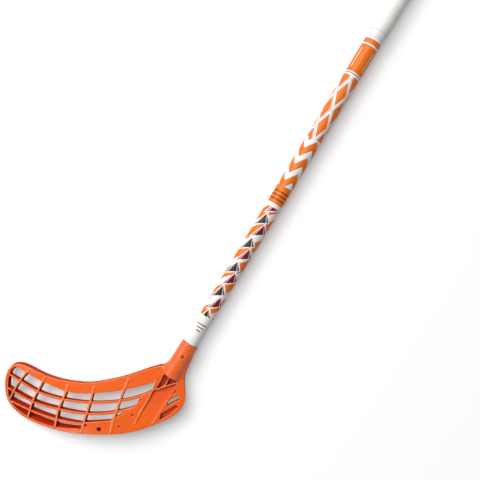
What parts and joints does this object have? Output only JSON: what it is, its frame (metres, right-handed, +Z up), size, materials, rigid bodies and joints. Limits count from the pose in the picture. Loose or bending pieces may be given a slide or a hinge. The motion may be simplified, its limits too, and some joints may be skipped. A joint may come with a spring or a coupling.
{
  "type": "floorball stick",
  "caption": "Floorball stick with a slotted, hooked plastic blade on a tapering printed shaft, a soft wrapped grip and a push-in end cap.",
  "frame": {"origin": "centre of the end cap's flat outer face, on the shaft's axis", "axes": "+X along the shaft from the butt to the blade, +Z up out of the blade's back, so the stick lies flat"},
  "size_m": [1.0406, 0.2427, 0.0293],
  "materials": {
    "composite": "bare fibre composite",
    "print": "printed and clear coated",
    "blade_plastic": "moulded, satin gloss",
    "grip": "soft matte wrap",
    "band": "thin tape",
    "cap": "matte",
    "screw": "browned steel"
  },
  "bodies": {
    "stick": {"shaft_tube": "composite", "printed_film": "print", "blade": "blade_plastic", "grip_tape": "grip", "grip_end_band": "band"},
    "cap": {"end_cap": "cap"},
    "screw": {"blade_screw": "screw"}
  },
  "joints": [
    {"name": "cap_pull", "type": "slide", "parent": "stick", "child": "cap", "axis": [-1, 0, 0], "range_m": [0, 0.032]},
    {"name": "screw_turn", "type": "hinge", "parent": "stick", "child": "screw", "pos_m": [0.8445, 0, 0.01195], "axis": [0, 0, 1], "continuous": true}
  ]
}
